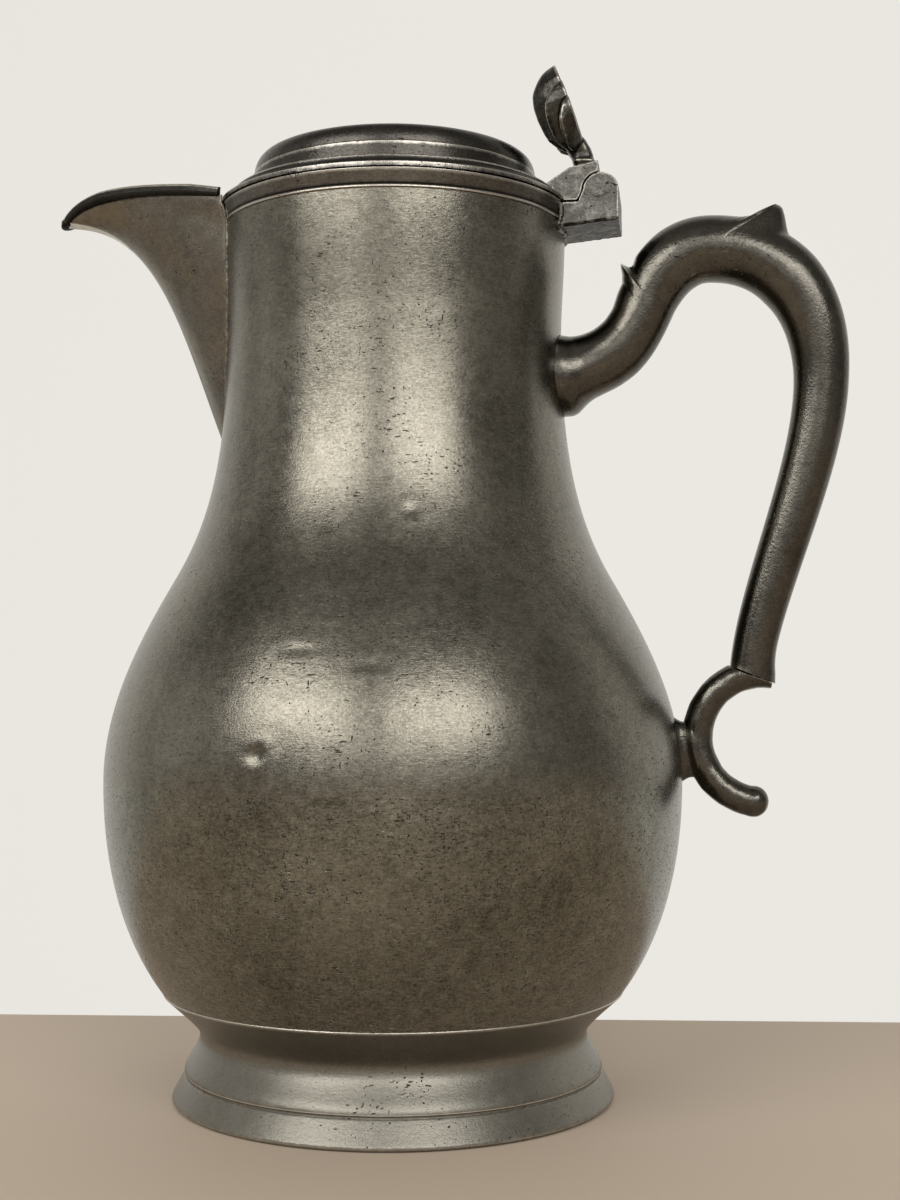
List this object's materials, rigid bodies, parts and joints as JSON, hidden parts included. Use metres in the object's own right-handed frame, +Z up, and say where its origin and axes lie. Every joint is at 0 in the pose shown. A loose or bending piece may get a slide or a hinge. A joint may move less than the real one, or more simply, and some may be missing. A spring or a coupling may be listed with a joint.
{
  "type": "lidded flagon",
  "caption": "Pear-shaped pewter flagon on a spreading foot, with a keeled spout, a scroll handle and a hinged lid raised by a shell thumbpiece.",
  "frame": {"origin": "centre of the foot, on the plane that it rests on", "axes": "+Z up along the vessel's axis, +X towards the handle and the hinge, -X towards the spout, +Y to the right of someone who looks from the handle to the spout"},
  "size_m": [0.2685, 0.1906, 0.3417],
  "materials": {
    "body_pewter": "aged pewter, satin, pitted and scratched",
    "foot_pewter": "aged pewter, satin, lighter from handling",
    "spout_pewter": "aged pewter, satin with warm stains",
    "handle_pewter": "cast pewter, dark and polished by hands",
    "lid_pewter": "aged pewter, turned, satin",
    "hinge_pewter": "aged pewter, rough, with pale oxide",
    "thumb_pewter": "cast pewter, dark in the flutes and bright on the ridges",
    "inside_pewter": "dull grey pewter",
    "pin_iron": "worn dark metal"
  },
  "bodies": {
    "vessel": {"foot_ring": "foot_pewter", "floor_disc": "inside_pewter", "belly_lower": "body_pewter", "body_upper": "body_pewter", "rim_band": "body_pewter", "spout": "spout_pewter", "spout_lip": "spout_pewter", "hinge_bracket": "hinge_pewter", "hinge_pin": "pin_iron", "handle_scroll": "handle_pewter", "handle_tail": "handle_pewter", "handle_boss": "handle_pewter"},
    "lid": {"lid_cover": "lid_pewter", "lid_bezel": "inside_pewter", "lid_leaf": "hinge_pewter", "thumbpiece": "thumb_pewter"}
  },
  "joints": [
    {"name": "lid_hinge", "type": "hinge", "parent": "vessel", "child": "lid", "pos_m": [0.07, 0, 0.2958], "axis": [0, 1, 0], "range_deg": [0, 105]}
  ]
}
